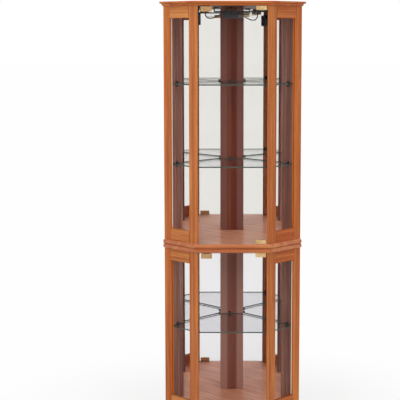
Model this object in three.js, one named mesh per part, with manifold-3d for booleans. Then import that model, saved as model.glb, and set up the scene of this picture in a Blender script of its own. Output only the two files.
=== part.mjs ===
// Corner curio cabinet with two glass doors, mirrored walls, glass shelves and a lamp under the crown.
// Millimetres, +Z up. The front faces -Y. The origin is on the floor, under the middle of the whole box.
import * as THREE from "three";
import { mergeVertices } from "three/addons/utils/BufferGeometryUtils.js";
import Module from "manifold-3d";

const wasm = await Module();
wasm.setup();

// Carcass plan: front, two angled sides, two walls and a flat across the room's corner
const frontWidth = 300;
const bodyWidth = 573;
const bodyDepth = 381;
const cornerFlat = 84;

// Heights
const plinthHeight = 62;
const boardThick = 18;
const lowerOpening = 685;
const upperOpening = 971;

// Board edges
const crownOverhang = 21;
const waistOverhang = 10;
const baseOverhang = 4;
const bullnoseDepth = 7;
const crownLip = 8;
const crownLipRound = 2.2;
const crownCoveStart = 5;
const crownCoveStep = 3;

// Frames of the angled sides
const frameThick = 18;
const frontStileWidth = 41;
const frontStileFace = 9;
const outerStileWidth = 37;
const railWidth = 50;
const easedEdge = 1.6;
const grooveDepth = 6;
const paneThick = 4;

// Back walls
const sheetThick = 3;
const mirrorThick = 4;
const backStileReach = 93;
const backStileThick = 12;
const mirrorRabbet = 8;
const cornerBoardThick = 15;

// Plinth boards
const plinthSetback = 14;
const plinthThick = 15;
const plinthBackInset = 70;

// Shelves and their pins
const shelfThick = 5;
const shelfFrontSetback = 22;
const shelfClear = 2;
const shelfCorner = 6;
const pinRadius = 2.5;
const pinReach = 8;
const pinBed = 6;
const cornerPinOffset = 10;
const upperShelfShares = [0.325, 0.671];
const lowerShelfShares = [0.504];
const frontPinShare = 0.62;
const backPinShare = 0.62;

// Glass doors and their fittings
const doorThick = 5;
const doorSideGap = 1.5;
const doorEndGap = 4.5;
const doorMiddle = 6.2;
const doorCornerRound = 1.5;
const hingeWidth = 43;
const hingeHeight = 17;
const hingeWall = 2.4;
const hingeWeb = 2.2;
const hingeEndGap = 1.4;
const hingeInset = 2.5;
const pivotInset = 8.5;
const pivotRadius = 2.5;
const pivotLength = 8;
const hingeRound = 0.8;
const setScrewRadius = 2.2;
const setScrewDeep = 0.7;
const strikeWidth = 45;
const strikeHeight = 21;
const strikeSheet = 1;
const strikeInset = 9.5;

// Touch latches
const latchWidth = 34;
const latchDepth = 24;
const latchHeight = 15;
const latchRound = 2;
const plungerRadius = 4.5;
const plungerLength = 15;
const plungerProud = 6;
const plungerHead = 1.5;
const plungerBoreDeep = 14;

// Lamp under the crown: its depth is counted from the flat at the room's corner
const lampX = -8.5;
const lampDepth = 141;
const lampDrop = 36;
const holderWidth = 60;
const holderHeight = 26;
const holderDepth = 34;
const holderRound = 3;
const socketRadius = 11;
const socketLength = 26;
const socketBore = 12;
const capRadius = 7;
const capLength = 36;
const bulbRadius = 10;
const bulbLength = 44;
const strapThick = 5.5;
const strapWidth = 14;
const strapLeft = 71;
const strapWallGap = 18.5;
const strapFoot = 26;

// Switch on the left front stile
const switchWidth = 25;
const switchHeight = 50;
const switchThick = 18;
const switchRound = 3;
const switchEdge = 1.5;
const switchTopDrop = 28;
const switchInset = 1.5;
const rockerWidth = 11;
const rockerHalf = 11;
const rockerProud = 1.6;
const rockerDish = 0.4;
const rockerSkirt = 1.5;
const rockerDeep = 5;
const rockerHeel = 6;
const rockerTilt = THREE.MathUtils.degToRad(8);

// Lead from the switch to the lamp holder. Its first stretch is counted along, off and up the stile from the
// middle of the switch's top, and its second across, back and up from the middle of the holder's front.
const leadRadius = 2.3;
const leadSides = 8;
const leadSteps = 72;
const leadOffSwitch = [
  [-0.3, 9.1, 0.3],
  [-0.3, 9.1, 7],
  [-0.7, 11.3, 16],
  [-2.2, 17.7, 22.4],
  [-4.4, 26.5, 24.9],
  [-6.5, 35.2, 22.4],
  [-8.2, 41.6, 15.5],
  [-8.7, 44.4, 6],
  [-8.5, 46.1, -3.5],
  [-8.5, 49.9, -12.5],
  [-9.4, 57.8, -19.2],
  [-11.1, 69.4, -22],
  [-13.2, 84.2, -21],
];
const leadToHolder = [
  [-58.5, -135, -7],
  [-41.5, -122, 2.3],
  [-24.5, -109, 13.2],
  [-10, -96, 24],
  [1.5, -81, 31],
  [8, -64, 32.5],
  [9.5, -47, 28.5],
  [8, -32, 21],
  [4.8, -19.5, 13.6],
  [1.5, -9, 9.6],
  [0, -0.4, 9],
];

// Clearances
const seat = 0.3;
const slideFit = 0.4;
const cutRun = 2;

// Facets
const roundSides = 24;
const pinSides = 12;
const roundSteps = 3;
const mouldSteps = 6;

// Planes and levels worked out from the sizes above
const root2 = Math.SQRT2;
const frontY = -(bodyDepth - crownOverhang) / 2;
const backY = frontY + bodyDepth;
const cornerY = backY - (bodyWidth - cornerFlat) / 2;
const sideRun = new THREE.Vector2((bodyWidth - frontWidth) / 2, cornerY - frontY);
const sideLength = sideRun.length();
const sideAlong = sideRun.clone().normalize();
const lowerDeck = plinthHeight + boardThick;
const lowerCeiling = lowerDeck + lowerOpening;
const waistLevel = lowerCeiling + boardThick;
const upperDeck = waistLevel + boardThick;
const upperCeiling = upperDeck + upperOpening;
const totalHeight = upperCeiling + boardThick;
const doorwayHalf = frontWidth / 2 - frontStileFace;
const grooveHalf = paneThick / 2 + seat;
const mirrorBack = sheetThick + seat;
const mirrorFront = mirrorBack + mirrorThick;
const backStileFront = mirrorBack + backStileThick;
const cornerFaceY = backY - mirrorBack - cornerBoardThick;
const doorY = frontY + doorMiddle;
const doorHalf = doorwayHalf - doorSideGap;
const pivotX = doorHalf - pivotInset;
const hingeRight = doorHalf - hingeInset;
const slotHalf = doorThick / 2 + seat;

const sections = {
  upper: { deck: upperDeck, ceiling: upperCeiling, shelfShares: upperShelfShares },
  lower: { deck: lowerDeck, ceiling: lowerCeiling, shelfShares: lowerShelfShares },
};

const finishes = {
  oak: new THREE.MeshStandardMaterial({ color: 0xb5652f, roughness: 0.45 }),
  darkOak: new THREE.MeshStandardMaterial({ color: 0x744536, roughness: 0.5 }),
  hardboard: new THREE.MeshStandardMaterial({ color: 0x8a6a4a, roughness: 0.85 }),
  glass: new THREE.MeshStandardMaterial({ color: 0xd9e8e4, roughness: 0.05 }),
  mirror: new THREE.MeshStandardMaterial({ color: 0xe4e4e2, roughness: 0.03, metalness: 1 }),
  brass: new THREE.MeshStandardMaterial({ color: 0xd8b56a, roughness: 0.28, metalness: 1 }),
  plastic: new THREE.MeshStandardMaterial({ color: 0x18181a, roughness: 0.45 }),
  ivory: new THREE.MeshStandardMaterial({ color: 0x2a2522, roughness: 0.5 }),
};

const cabinet = new THREE.Group();

function add(name, geometry, finish) {
  const mesh = new THREE.Mesh(geometry, finish.clone());
  mesh.name = name;
  cabinet.add(mesh);
}

// Solids for joins and cuts
function solidOf(geometry) {
  const bare = geometry.index ? geometry.toNonIndexed() : geometry.clone();
  bare.deleteAttribute("normal");
  bare.deleteAttribute("uv");
  const merged = mergeVertices(bare);
  const vertProperties = new Float32Array(merged.attributes.position.array);
  const triVerts = new Uint32Array(merged.index.array);
  return new wasm.Manifold(new wasm.Mesh({ numProp: 3, vertProperties, triVerts }));
}

function geometryOf(solid) {
  const mesh = solid.getMesh();
  const geometry = new THREE.BufferGeometry();
  geometry.setAttribute("position", new THREE.BufferAttribute(new Float32Array(mesh.vertProperties), 3));
  geometry.setIndex(new THREE.BufferAttribute(new Uint32Array(mesh.triVerts), 1));
  geometry.computeVertexNormals();
  return geometry;
}

function joined(first, ...others) {
  return geometryOf(others.reduce((sum, next) => sum.add(solidOf(next)), solidOf(first)));
}

function cutBy(first, ...tools) {
  return geometryOf(tools.reduce((left, tool) => left.subtract(solidOf(tool)), solidOf(first)));
}

// The left-hand twin of a right-hand piece
function mirrored(geometry) {
  const twin = geometry.index ? geometry.toNonIndexed() : geometry.clone();
  twin.scale(-1, 1, 1);
  const position = twin.attributes.position;
  const swap = new THREE.Vector3();
  const other = new THREE.Vector3();
  for (let i = 0; i < position.count; i += 3) {
    swap.fromBufferAttribute(position, i + 1);
    other.fromBufferAttribute(position, i + 2);
    position.setXYZ(i + 1, other.x, other.y, other.z);
    position.setXYZ(i + 2, swap.x, swap.y, swap.z);
  }
  twin.computeVertexNormals();
  return twin;
}

function addPair(name, geometry, finish) {
  add(`${name}_right`, geometry, finish);
  add(`${name}_left`, mirrored(geometry), finish);
}

// A closed outline: a point's third number is the radius that its corner is eased by
function outline(points) {
  const shape = new THREE.Shape();
  points.forEach(([x, y, radius], i) => {
    const here = new THREE.Vector2(x, y);
    const before = new THREE.Vector2(...points.at(i - 1).slice(0, 2)).sub(here).normalize();
    const after = new THREE.Vector2(...points[(i + 1) % points.length].slice(0, 2)).sub(here).normalize();
    const start = here.clone().addScaledVector(before, radius ?? 0);
    const end = here.clone().addScaledVector(after, radius ?? 0);
    if (i === 0) shape.moveTo(start.x, start.y);
    else shape.lineTo(start.x, start.y);
    if (radius) shape.quadraticCurveTo(x, y, end.x, end.y);
  });
  return shape;
}

function upright(points, bottom, top) {
  const settings = { depth: top - bottom, bevelEnabled: false, curveSegments: roundSteps };
  return new THREE.ExtrudeGeometry(outline(points), settings).translate(0, 0, bottom);
}

// A bar whose section is drawn in depth and height, running along X
function alongX(section, left, right) {
  const settings = { depth: right - left, bevelEnabled: false, curveSegments: roundSteps };
  const bar = new THREE.ExtrudeGeometry(outline(section), settings);
  const across = new THREE.Vector3(0, 1, 0);
  const up = new THREE.Vector3(0, 0, 1);
  const along = new THREE.Vector3(1, 0, 0);
  return bar.applyMatrix4(new THREE.Matrix4().makeBasis(across, up, along)).translate(left, 0, 0);
}

function box(low, high) {
  const size = high.map((value, i) => value - low[i]);
  const centre = high.map((value, i) => (value + low[i]) / 2);
  return new THREE.BoxGeometry(...size).translate(...centre);
}

// A round bar from one point along a direction
function rod(radius, start, direction, length, sides) {
  const bar = new THREE.CylinderGeometry(radius, radius, length, sides).translate(0, length / 2, 0);
  const turn = new THREE.Quaternion().setFromUnitVectors(new THREE.Vector3(0, 1, 0), direction);
  return bar.applyQuaternion(turn).translate(start.x, start.y, start.z);
}

// Plan positions. Along the right angled side: run from its front corner, and depth into the cabinet.
function sidePoint(run, inward, radius) {
  const x = frontWidth / 2 + sideAlong.x * run - sideAlong.y * inward;
  const y = frontY + sideAlong.y * run + sideAlong.x * inward;
  return [x, y, radius];
}

// Along the right wall: run from the outer corner towards the room's corner, and depth into the cabinet.
function wallPoint(run, inward, radius) {
  return [bodyWidth / 2 - (run + inward) / root2, cornerY + (run - inward) / root2, radius];
}

const alongSide = new THREE.Vector3(sideAlong.x, sideAlong.y, 0);
const sideInward = new THREE.Vector3(-sideAlong.y, sideAlong.x, 0);
const wallInward = new THREE.Vector3(-1, -1, 0).normalize();

// The sum of X and Y along a line parallel to the right wall, moved outwards by an amount
function wallSum(outward) {
  return bodyWidth / 2 + cornerY + outward * root2;
}

// Where a line parallel to the angled side meets one parallel to the front, or to the wall:
// each is moved outwards by its own amount
function frontCorner(front, side, radius) {
  const run = (side * sideAlong.x - front) / sideAlong.y;
  return sidePoint(run, -side, radius);
}

function outerCorner(side, wall, radius) {
  const [x, y] = sidePoint(0, -side);
  const run = (wallSum(wall) - x - y) / (sideAlong.x + sideAlong.y);
  return sidePoint(run, -side, radius);
}

// The footprint with each kind of edge moved outwards by its own amount
function footprint({ front, side, wall, back }) {
  const far = backY + back;
  const right = [
    frontCorner(front, side),
    outerCorner(side, wall),
    [wallSum(wall) - far, far],
  ];
  const left = right.map(([x, y]) => [-x, y]).reverse();
  return [...right, ...left];
}

// A closed body through rings of points that each lie at one level
function stacked(rings) {
  const count = rings[0].points.length;
  const positions = rings.flatMap(({ points, z }) => points.flatMap(([x, y]) => [x, y, z]));
  const index = [];
  for (let ring = 0; ring < rings.length - 1; ring += 1) {
    for (let i = 0; i < count; i += 1) {
      const a = ring * count + i;
      const b = ring * count + ((i + 1) % count);
      index.push(a, b, b + count, a, b + count, a + count);
    }
  }
  const lid = THREE.ShapeUtils.triangulateShape(
    rings[0].points.map(([x, y]) => new THREE.Vector2(x, y)),
    [],
  );
  const last = (rings.length - 1) * count;
  lid.forEach(([a, b, c]) => index.push(c, b, a, last + a, last + b, last + c));
  const geometry = new THREE.BufferGeometry();
  geometry.setAttribute("position", new THREE.Float32BufferAttribute(positions, 3));
  geometry.setIndex(index);
  geometry.computeVertexNormals();
  return geometry;
}

// A shelf board whose front and angled edges follow a moulding: pairs of outward reach and level.
// The moulding runs round the mitred corners and dies out at the walls.
function mouldedBoard(moulding, wallInset) {
  const rings = moulding.map(([reach, z]) => ({
    points: footprint({ front: reach, side: reach, wall: -wallInset, back: -wallInset }),
    z,
  }));
  return stacked(rings);
}

// Half-round nose over the whole thickness of a board
function bullnose(overhang, bottom, top) {
  const half = (top - bottom) / 2;
  return Array.from({ length: 2 * mouldSteps + 1 }, (unused, i) => {
    const angle = (i / mouldSteps - 1) * (Math.PI / 2);
    return [overhang - bullnoseDepth * (1 - Math.cos(angle)), bottom + half * (1 + Math.sin(angle))];
  });
}

// Crown moulding: a cove that sweeps out under a square step and an eased lip
function crownMoulding(bottom, top) {
  const lipBottom = top - crownLip;
  const coveReach = crownOverhang - crownCoveStep - crownCoveStart;
  const cove = Array.from({ length: mouldSteps + 1 }, (unused, i) => {
    const angle = (i / mouldSteps) * (Math.PI / 2);
    return [crownCoveStart + coveReach * (1 - Math.cos(angle)), bottom + (lipBottom - bottom) * Math.sin(angle)];
  });
  const ease = (level, turn) =>
    Array.from({ length: roundSteps + 1 }, (unused, i) => {
      const angle = (turn + i / roundSteps) * (Math.PI / 2);
      const reach = crownOverhang - crownLipRound * (1 - Math.cos(angle));
      return [reach, level + crownLipRound * Math.sin(angle)];
    });
  return [...cove, ...ease(lipBottom + crownLipRound, -1), ...ease(top - crownLipRound, 0)];
}

// Boards, each bored where a door's pivot turns in it
function pivotHole(level, upward) {
  const direction = new THREE.Vector3(0, 0, upward);
  const start = new THREE.Vector3(pivotX, doorY, level - upward * cutRun);
  const depth = pivotLength - hingeEndGap + seat;
  return rod(pivotRadius + seat, start, direction, depth + cutRun, roundSides);
}

const boardInset = mirrorBack;
const crownBoard = mouldedBoard(crownMoulding(upperCeiling, totalHeight), 0);
const upperBase = mouldedBoard(bullnose(waistOverhang, waistLevel + seat / 2, upperDeck), boardInset);
const lowerTop = mouldedBoard(bullnose(waistOverhang, lowerCeiling, waistLevel - seat / 2), boardInset);
const lowerBase = mouldedBoard(bullnose(baseOverhang, plinthHeight, lowerDeck), boardInset);
add("crown_board", cutBy(crownBoard, pivotHole(upperCeiling, 1)), finishes.oak);
add("upper_base_board", cutBy(upperBase, pivotHole(upperDeck, -1)), finishes.oak);
add("lower_top_board", cutBy(lowerTop, pivotHole(lowerCeiling, 1)), finishes.oak);
add("lower_base_board", cutBy(lowerBase, pivotHole(lowerDeck, -1)), finishes.oak);

// Plinth: a front board mitred to two angled ones, and a rail across the corner at the back
const plinthOut = footprint({ front: -plinthSetback, side: -plinthSetback, wall: -mirrorBack, back: 0 });
const plinthIn = footprint({
  front: -plinthSetback - plinthThick,
  side: -plinthSetback - plinthThick,
  wall: -mirrorBack,
  back: 0,
});
const plinthTop = plinthHeight - seat;
const mitre = seat / 2;

function plinthFront() {
  const [outer] = plinthOut;
  const [inner] = plinthIn;
  const points = [
    [outer[0] - mitre, outer[1]],
    [inner[0] - mitre, inner[1]],
    [mitre - inner[0], inner[1]],
    [mitre - outer[0], outer[1]],
  ];
  return upright(points, 0, plinthTop);
}

function plinthSide() {
  const points = [
    [plinthOut[0][0] + mitre, plinthOut[0][1] + mitre],
    plinthOut[1],
    plinthIn[1],
    [plinthIn[0][0] + mitre, plinthIn[0][1] + mitre],
  ];
  return upright(points, 0, plinthTop);
}

function plinthBack() {
  const wall = wallSum(-mirrorBack);
  const far = backY - plinthBackInset;
  const near = far - plinthThick;
  const points = [
    [wall - near, near],
    [wall - far, far],
    [far - wall, far],
    [near - wall, near],
  ];
  return upright(points, 0, plinthTop);
}

add("plinth_front", plinthFront(), finishes.oak);
addPair("plinth", plinthSide(), finishes.oak);
add("plinth_back_rail", plinthBack(), finishes.oak);

// Angled side frames: grooved stiles and rails that hold a pane
const grooveIn = frameThick / 2 - grooveHalf;
const grooveOut = frameThick / 2 + grooveHalf;

function shelfLevels({ deck, ceiling, shelfShares }) {
  return shelfShares.map((share) => deck + (ceiling - deck) * share - shelfThick / 2);
}

// A steel pin bedded in its carrier, standing out just under a shelf
function shelfPin([x, y], inward, level) {
  const start = new THREE.Vector3(x, y, level - seat - pinRadius).addScaledVector(inward, -pinBed);
  return rod(pinRadius, start, inward, pinBed + pinReach, pinSides);
}

// How far along the side its inner face starts, at the doorway
const doorwayRun = (doorwayHalf - frontWidth / 2 + sideAlong.y * frameThick) / sideAlong.x;

function frontStile(section) {
  const points = [
    sidePoint(0, 0, easedEdge),
    [doorwayHalf, frontY, easedEdge],
    sidePoint(doorwayRun, frameThick, easedEdge),
    sidePoint(frontStileWidth, frameThick, easedEdge),
    sidePoint(frontStileWidth, grooveOut),
    sidePoint(frontStileWidth - grooveDepth, grooveOut),
    sidePoint(frontStileWidth - grooveDepth, grooveIn),
    sidePoint(frontStileWidth, grooveIn),
    sidePoint(frontStileWidth, 0, easedEdge),
  ];
  const stile = upright(points, section.deck + seat, section.ceiling - seat);
  const place = sidePoint(frontStileWidth * frontPinShare, frameThick);
  return joined(stile, ...shelfLevels(section).map((z) => shelfPin(place, sideInward, z)));
}

function outerStile(section) {
  const near = sideLength - outerStileWidth;
  const points = [
    sidePoint(near, 0, easedEdge),
    sidePoint(near, grooveIn),
    sidePoint(near + grooveDepth, grooveIn),
    sidePoint(near + grooveDepth, grooveOut),
    sidePoint(near, grooveOut),
    sidePoint(near, frameThick, easedEdge),
    outerCorner(-frameThick, 0),
    outerCorner(0, 0, easedEdge),
  ];
  return upright(points, section.deck + seat, section.ceiling - seat);
}

// A bar of the side frame, drawn in depth and height and run between the stiles
function sideRail(edge, window) {
  const floor = window > edge ? edge + seat : edge - seat;
  const bed = window > edge ? window - grooveDepth : window + grooveDepth;
  const points = [
    [0, floor],
    [0, window, easedEdge],
    [grooveIn, window],
    [grooveIn, bed],
    [grooveOut, bed],
    [grooveOut, window],
    [frameThick, window, easedEdge],
    [frameThick, floor],
  ];
  const start = frontStileWidth + seat;
  const length = sideLength - outerStileWidth - seat - start;
  const settings = { depth: length, bevelEnabled: false, curveSegments: roundSteps };
  const bar = new THREE.ExtrudeGeometry(outline(points), settings);
  const up = new THREE.Vector3(0, 0, 1);
  const [x, y] = sidePoint(start, 0);
  return bar.applyMatrix4(new THREE.Matrix4().makeBasis(sideInward, up, alongSide)).translate(x, y, 0);
}

function sidePane({ deck, ceiling }) {
  const near = frontStileWidth - grooveDepth + seat;
  const far = sideLength - outerStileWidth + grooveDepth - seat;
  const front = grooveIn + seat;
  const back = grooveOut - seat;
  const points = [sidePoint(near, front), sidePoint(far, front), sidePoint(far, back), sidePoint(near, back)];
  const bed = railWidth - grooveDepth + seat;
  return upright(points, deck + bed, ceiling - bed);
}

for (const [name, section] of Object.entries(sections)) {
  addPair(`${name}_front_stile`, frontStile(section), finishes.oak);
  addPair(`${name}_outer_stile`, outerStile(section), finishes.oak);
  addPair(`${name}_side_top_rail`, sideRail(section.ceiling, section.ceiling - railWidth), finishes.oak);
  addPair(`${name}_side_bottom_rail`, sideRail(section.deck, section.deck + railWidth), finishes.oak);
  addPair(`${name}_side_pane`, sidePane(section), finishes.glass);
}

// Mirrored walls: a rabbeted stile at the outer end, a mirror pane, and a board across the corner
const mirrorStart = backStileReach - mirrorRabbet + seat;
const mirrorEnd = (backY - mirrorBack - cornerY) * root2 + mirrorBack;

function backStile(section) {
  const side = -frameThick - seat;
  const points = [
    outerCorner(side, -mirrorBack),
    wallPoint(backStileReach - mirrorRabbet, mirrorBack),
    wallPoint(backStileReach - mirrorRabbet, mirrorFront + seat),
    wallPoint(backStileReach, mirrorFront + seat),
    wallPoint(backStileReach, backStileFront, easedEdge),
    outerCorner(side, -backStileFront),
  ];
  const stile = upright(points, section.deck + seat, section.ceiling - seat);
  const place = wallPoint(backStileReach * backPinShare, backStileFront);
  return joined(stile, ...shelfLevels(section).map((z) => shelfPin(place, wallInward, z)));
}

function mirrorPane({ deck, ceiling }) {
  const points = [
    wallPoint(mirrorStart, mirrorBack),
    wallPoint(mirrorEnd, mirrorBack),
    wallPoint(mirrorEnd, mirrorFront),
    wallPoint(mirrorStart, mirrorFront),
  ];
  return upright(points, deck + seat, ceiling - seat);
}

function cornerBoard(section) {
  const wall = wallSum(-mirrorFront - seat);
  const far = backY - mirrorBack;
  const points = [
    [wall - cornerFaceY, cornerFaceY],
    [wall - far, far],
    [far - wall, far],
    [cornerFaceY - wall, cornerFaceY],
  ];
  const board = upright(points, section.deck + seat, section.ceiling - seat);
  const forward = new THREE.Vector3(0, -1, 0);
  const pins = shelfLevels(section).map((z) => shelfPin([-cornerPinOffset, cornerFaceY], forward, z));
  return joined(board, ...pins);
}

for (const [name, section] of Object.entries(sections)) {
  addPair(`${name}_back_stile`, backStile(section), finishes.darkOak);
  addPair(`${name}_mirror`, mirrorPane(section), finishes.mirror);
  add(`${name}_corner_board`, cornerBoard(section), finishes.darkOak);
}

// Back sheet: one hardboard sheet folded round the cut-off corner, from the base board to the crown
function backSheet() {
  const outer = footprint({ front: 0, side: 0, wall: 0, back: 0 });
  const inner = footprint({ front: 0, side: 0, wall: -sheetThick, back: -sheetThick });
  const [outX, outY] = outerCorner(-frameThick - seat, 0);
  const [inX, inY] = outerCorner(-frameThick - seat, -sheetThick);
  const points = [
    [outX, outY],
    outer[2],
    outer[3],
    [-outX, outY],
    [-inX, inY],
    inner[3],
    inner[2],
    [inX, inY],
  ];
  return upright(points, plinthHeight + seat, upperCeiling - seat);
}

add("back_sheet", backSheet(), finishes.hardboard);

// Glass shelves with straight edges parallel to the walls around them
function shelf(level) {
  const plan = footprint({
    front: -shelfFrontSetback,
    side: -frameThick - shelfClear,
    wall: -backStileFront - shelfClear,
    back: cornerFaceY - shelfClear - backY,
  });
  const points = plan.map(([x, y]) => [x, y, shelfCorner]);
  return upright(points, level, level + shelfThick);
}

const [lowerUpperShelf, upperUpperShelf] = shelfLevels(sections.upper);
const [lowerShelf] = shelfLevels(sections.lower);
add("upper_shelf_top", shelf(upperUpperShelf), finishes.glass);
add("upper_shelf_bottom", shelf(lowerUpperShelf), finishes.glass);
add("lower_shelf", shelf(lowerShelf), finishes.glass);

// Frameless glass doors
function doorGlass({ deck, ceiling }) {
  const points = [
    [-doorHalf, deck + doorEndGap, doorCornerRound],
    [doorHalf, deck + doorEndGap, doorCornerRound],
    [doorHalf, ceiling - doorEndGap, doorCornerRound],
    [-doorHalf, ceiling - doorEndGap, doorCornerRound],
  ];
  const settings = { depth: doorThick, bevelEnabled: false, curveSegments: roundSteps };
  const pane = new THREE.ExtrudeGeometry(outline(points), settings);
  return pane.rotateX(Math.PI / 2).translate(0, doorY + doorThick / 2, 0);
}

// Clamp hinge: a brass channel over the glass edge, with grub screws and a pivot that enters the board
function clampHinge(level, upward) {
  const outerHalf = slotHalf + hingeWall;
  const end = level - upward * hingeEndGap;
  const webBed = end - upward * hingeWeb;
  const mouth = end - upward * hingeHeight;
  const section = [
    [doorY - outerHalf, end, hingeRound],
    [doorY + outerHalf, end, hingeRound],
    [doorY + outerHalf, mouth, hingeRound],
    [doorY + slotHalf, mouth],
    [doorY + slotHalf, webBed],
    [doorY - slotHalf, webBed],
    [doorY - slotHalf, mouth],
    [doorY - outerHalf, mouth, hingeRound],
  ];
  const channel = alongX(section, hingeRight - hingeWidth, hingeRight);
  const direction = new THREE.Vector3(0, 0, upward);
  const start = new THREE.Vector3(pivotX, doorY, webBed + (upward * hingeWeb) / 2);
  const pin = rod(pivotRadius, start, direction, pivotLength + hingeWeb / 2, roundSides);
  const backward = new THREE.Vector3(0, -1, 0);
  const screwLevel = (webBed + mouth) / 2;
  const dimples = [1 / 4, 3 / 4].map((share) => {
    const place = new THREE.Vector3(hingeRight - hingeWidth * share, doorY + outerHalf + cutRun, screwLevel);
    return rod(setScrewRadius, place, backward, setScrewDeep + cutRun, pinSides);
  });
  return cutBy(joined(channel, pin), ...dimples);
}

// Strike: a folded brass clip over the top edge of the glass
function strikeClip(level) {
  const glassTop = level - doorEndGap;
  const outerHalf = slotHalf + strikeSheet;
  const top = glassTop + seat + strikeSheet;
  const bottom = top - strikeHeight;
  const section = [
    [doorY - outerHalf, bottom],
    [doorY - outerHalf, top, strikeSheet],
    [doorY + outerHalf, top, strikeSheet],
    [doorY + outerHalf, bottom],
    [doorY + slotHalf, bottom],
    [doorY + slotHalf, glassTop + seat],
    [doorY - slotHalf, glassTop + seat],
    [doorY - slotHalf, bottom],
  ];
  const left = strikeInset - doorHalf;
  return alongX(section, left, left + strikeWidth);
}

// Touch latch: a housing under the board with a sprung plunger whose tip rests against the strike
const plungerTip = doorY + slotHalf + strikeSheet + seat;
const latchFront = plungerTip + plungerProud;
const latchX = strikeInset - doorHalf + strikeWidth / 2;

function latchAxisLevel(level) {
  return level - seat - latchHeight / 2;
}

function latchHousing(level) {
  const top = level - seat;
  const bottom = top - latchHeight;
  const section = [
    [latchFront, bottom, latchRound],
    [latchFront, top],
    [latchFront + latchDepth, top],
    [latchFront + latchDepth, bottom, latchRound],
  ];
  const housing = alongX(section, latchX - latchWidth / 2, latchX + latchWidth / 2);
  const mouth = new THREE.Vector3(latchX, latchFront - cutRun, latchAxisLevel(level));
  const inward = new THREE.Vector3(0, 1, 0);
  return cutBy(housing, rod(plungerRadius + slideFit, mouth, inward, plungerBoreDeep + cutRun, roundSides));
}

function latchPlunger(level) {
  const profile = [
    new THREE.Vector2(0, 0),
    new THREE.Vector2(plungerRadius - plungerHead, 0),
    new THREE.Vector2(plungerRadius, plungerHead),
    new THREE.Vector2(plungerRadius, plungerLength),
    new THREE.Vector2(0, plungerLength),
  ];
  return new THREE.LatheGeometry(profile, roundSides).translate(latchX, plungerTip, latchAxisLevel(level));
}

for (const [name, { deck, ceiling }] of Object.entries(sections)) {
  add(`${name}_door_glass`, doorGlass({ deck, ceiling }), finishes.glass);
  add(`${name}_door_top_hinge`, clampHinge(ceiling, 1), finishes.brass);
  add(`${name}_door_bottom_hinge`, clampHinge(deck, -1), finishes.brass);
  add(`${name}_door_strike`, strikeClip(ceiling), finishes.brass);
  add(`${name}_latch_housing`, latchHousing(ceiling), finishes.plastic);
  add(`${name}_latch_plunger`, latchPlunger(ceiling), finishes.plastic);
}

// Lamp: a strap under the crown carries a holder, whose socket takes a tubular bulb
const lampY = backY - lampDepth;
const lampZ = upperCeiling - lampDrop;
const strapTop = lampZ + holderHeight / 2 + seat + strapThick;

function lampStrap() {
  const ceiling = upperCeiling - seat;
  const left = lampX - strapLeft;
  const right = wallSum(-mirrorFront) - lampY - strapWidth / 2 - strapWallGap;
  const section = [
    [left, ceiling],
    [left, strapTop - strapThick, strapThick],
    [right, strapTop - strapThick, strapThick],
    [right, ceiling],
    [right - strapFoot, ceiling],
    [right - strapFoot, ceiling - strapThick],
    [right - strapThick, ceiling - strapThick],
    [right - strapThick, strapTop],
    [left + strapThick, strapTop],
    [left + strapThick, ceiling - strapThick],
    [left + strapFoot, ceiling - strapThick],
    [left + strapFoot, ceiling],
  ];
  const settings = { depth: strapWidth, bevelEnabled: false, curveSegments: roundSteps };
  const strap = new THREE.ExtrudeGeometry(outline(section), settings);
  return strap.rotateX(Math.PI / 2).translate(0, lampY + strapWidth / 2, 0);
}

function lampHolder() {
  const low = [lampX - holderWidth / 2, lampY - holderDepth / 2];
  const high = [lampX + holderWidth / 2, lampY + holderDepth / 2];
  const corners = [
    [low[0], low[1], holderRound],
    [high[0], low[1], holderRound],
    [high[0], high[1], holderRound],
    [low[0], high[1], holderRound],
  ];
  const body = upright(corners, lampZ - holderHeight / 2, lampZ + holderHeight / 2);
  const out = new THREE.Vector3(1, 0, 0);
  const mouthX = high[0] + socketLength;
  const root = new THREE.Vector3(high[0] - cutRun, lampY, lampZ);
  const socket = rod(socketRadius, root, out, socketLength + cutRun, roundSides);
  const bore = new THREE.Vector3(mouthX - socketBore, lampY, lampZ);
  return cutBy(joined(body, socket), rod(capRadius + seat, bore, out, socketBore + cutRun, roundSides));
}

function bulb() {
  const capStart = lampX + holderWidth / 2 + socketLength - socketBore + seat;
  const shoulder = capLength + bulbRadius - capRadius;
  const domeStart = capLength + bulbLength - bulbRadius;
  const dome = Array.from({ length: mouldSteps + 1 }, (unused, i) => {
    const angle = (i / mouldSteps) * (Math.PI / 2);
    const reach = i === mouldSteps ? 0 : bulbRadius * Math.cos(angle);
    return new THREE.Vector2(reach, domeStart + bulbRadius * Math.sin(angle));
  });
  const profile = [
    new THREE.Vector2(0, 0),
    new THREE.Vector2(capRadius, 0),
    new THREE.Vector2(capRadius, capLength),
    new THREE.Vector2(bulbRadius, shoulder),
    ...dome,
  ];
  return new THREE.LatheGeometry(profile, roundSides).rotateZ(-Math.PI / 2).translate(capStart, lampY, lampZ);
}

add("lamp_strap", lampStrap(), finishes.plastic);
add("lamp_holder", lampHolder(), finishes.plastic);
add("bulb", bulb(), finishes.glass);

// Switch on the inner face of the left front stile: drawn on the right side, then mirrored.
// Its own frame: across the stile, up, and out into the cabinet.
const switchRun = doorwayRun + switchInset + switchWidth / 2;
const switchZ = upperCeiling - switchTopDrop - switchHeight / 2;
const rockerSlack = slideFit;

function onSwitch(geometry) {
  const up = new THREE.Vector3(0, 0, 1);
  const [x, y] = sidePoint(switchRun, frameThick + seat);
  const back = alongSide.clone().negate();
  return geometry.applyMatrix4(new THREE.Matrix4().makeBasis(back, up, sideInward)).translate(x, y, switchZ);
}

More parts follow.
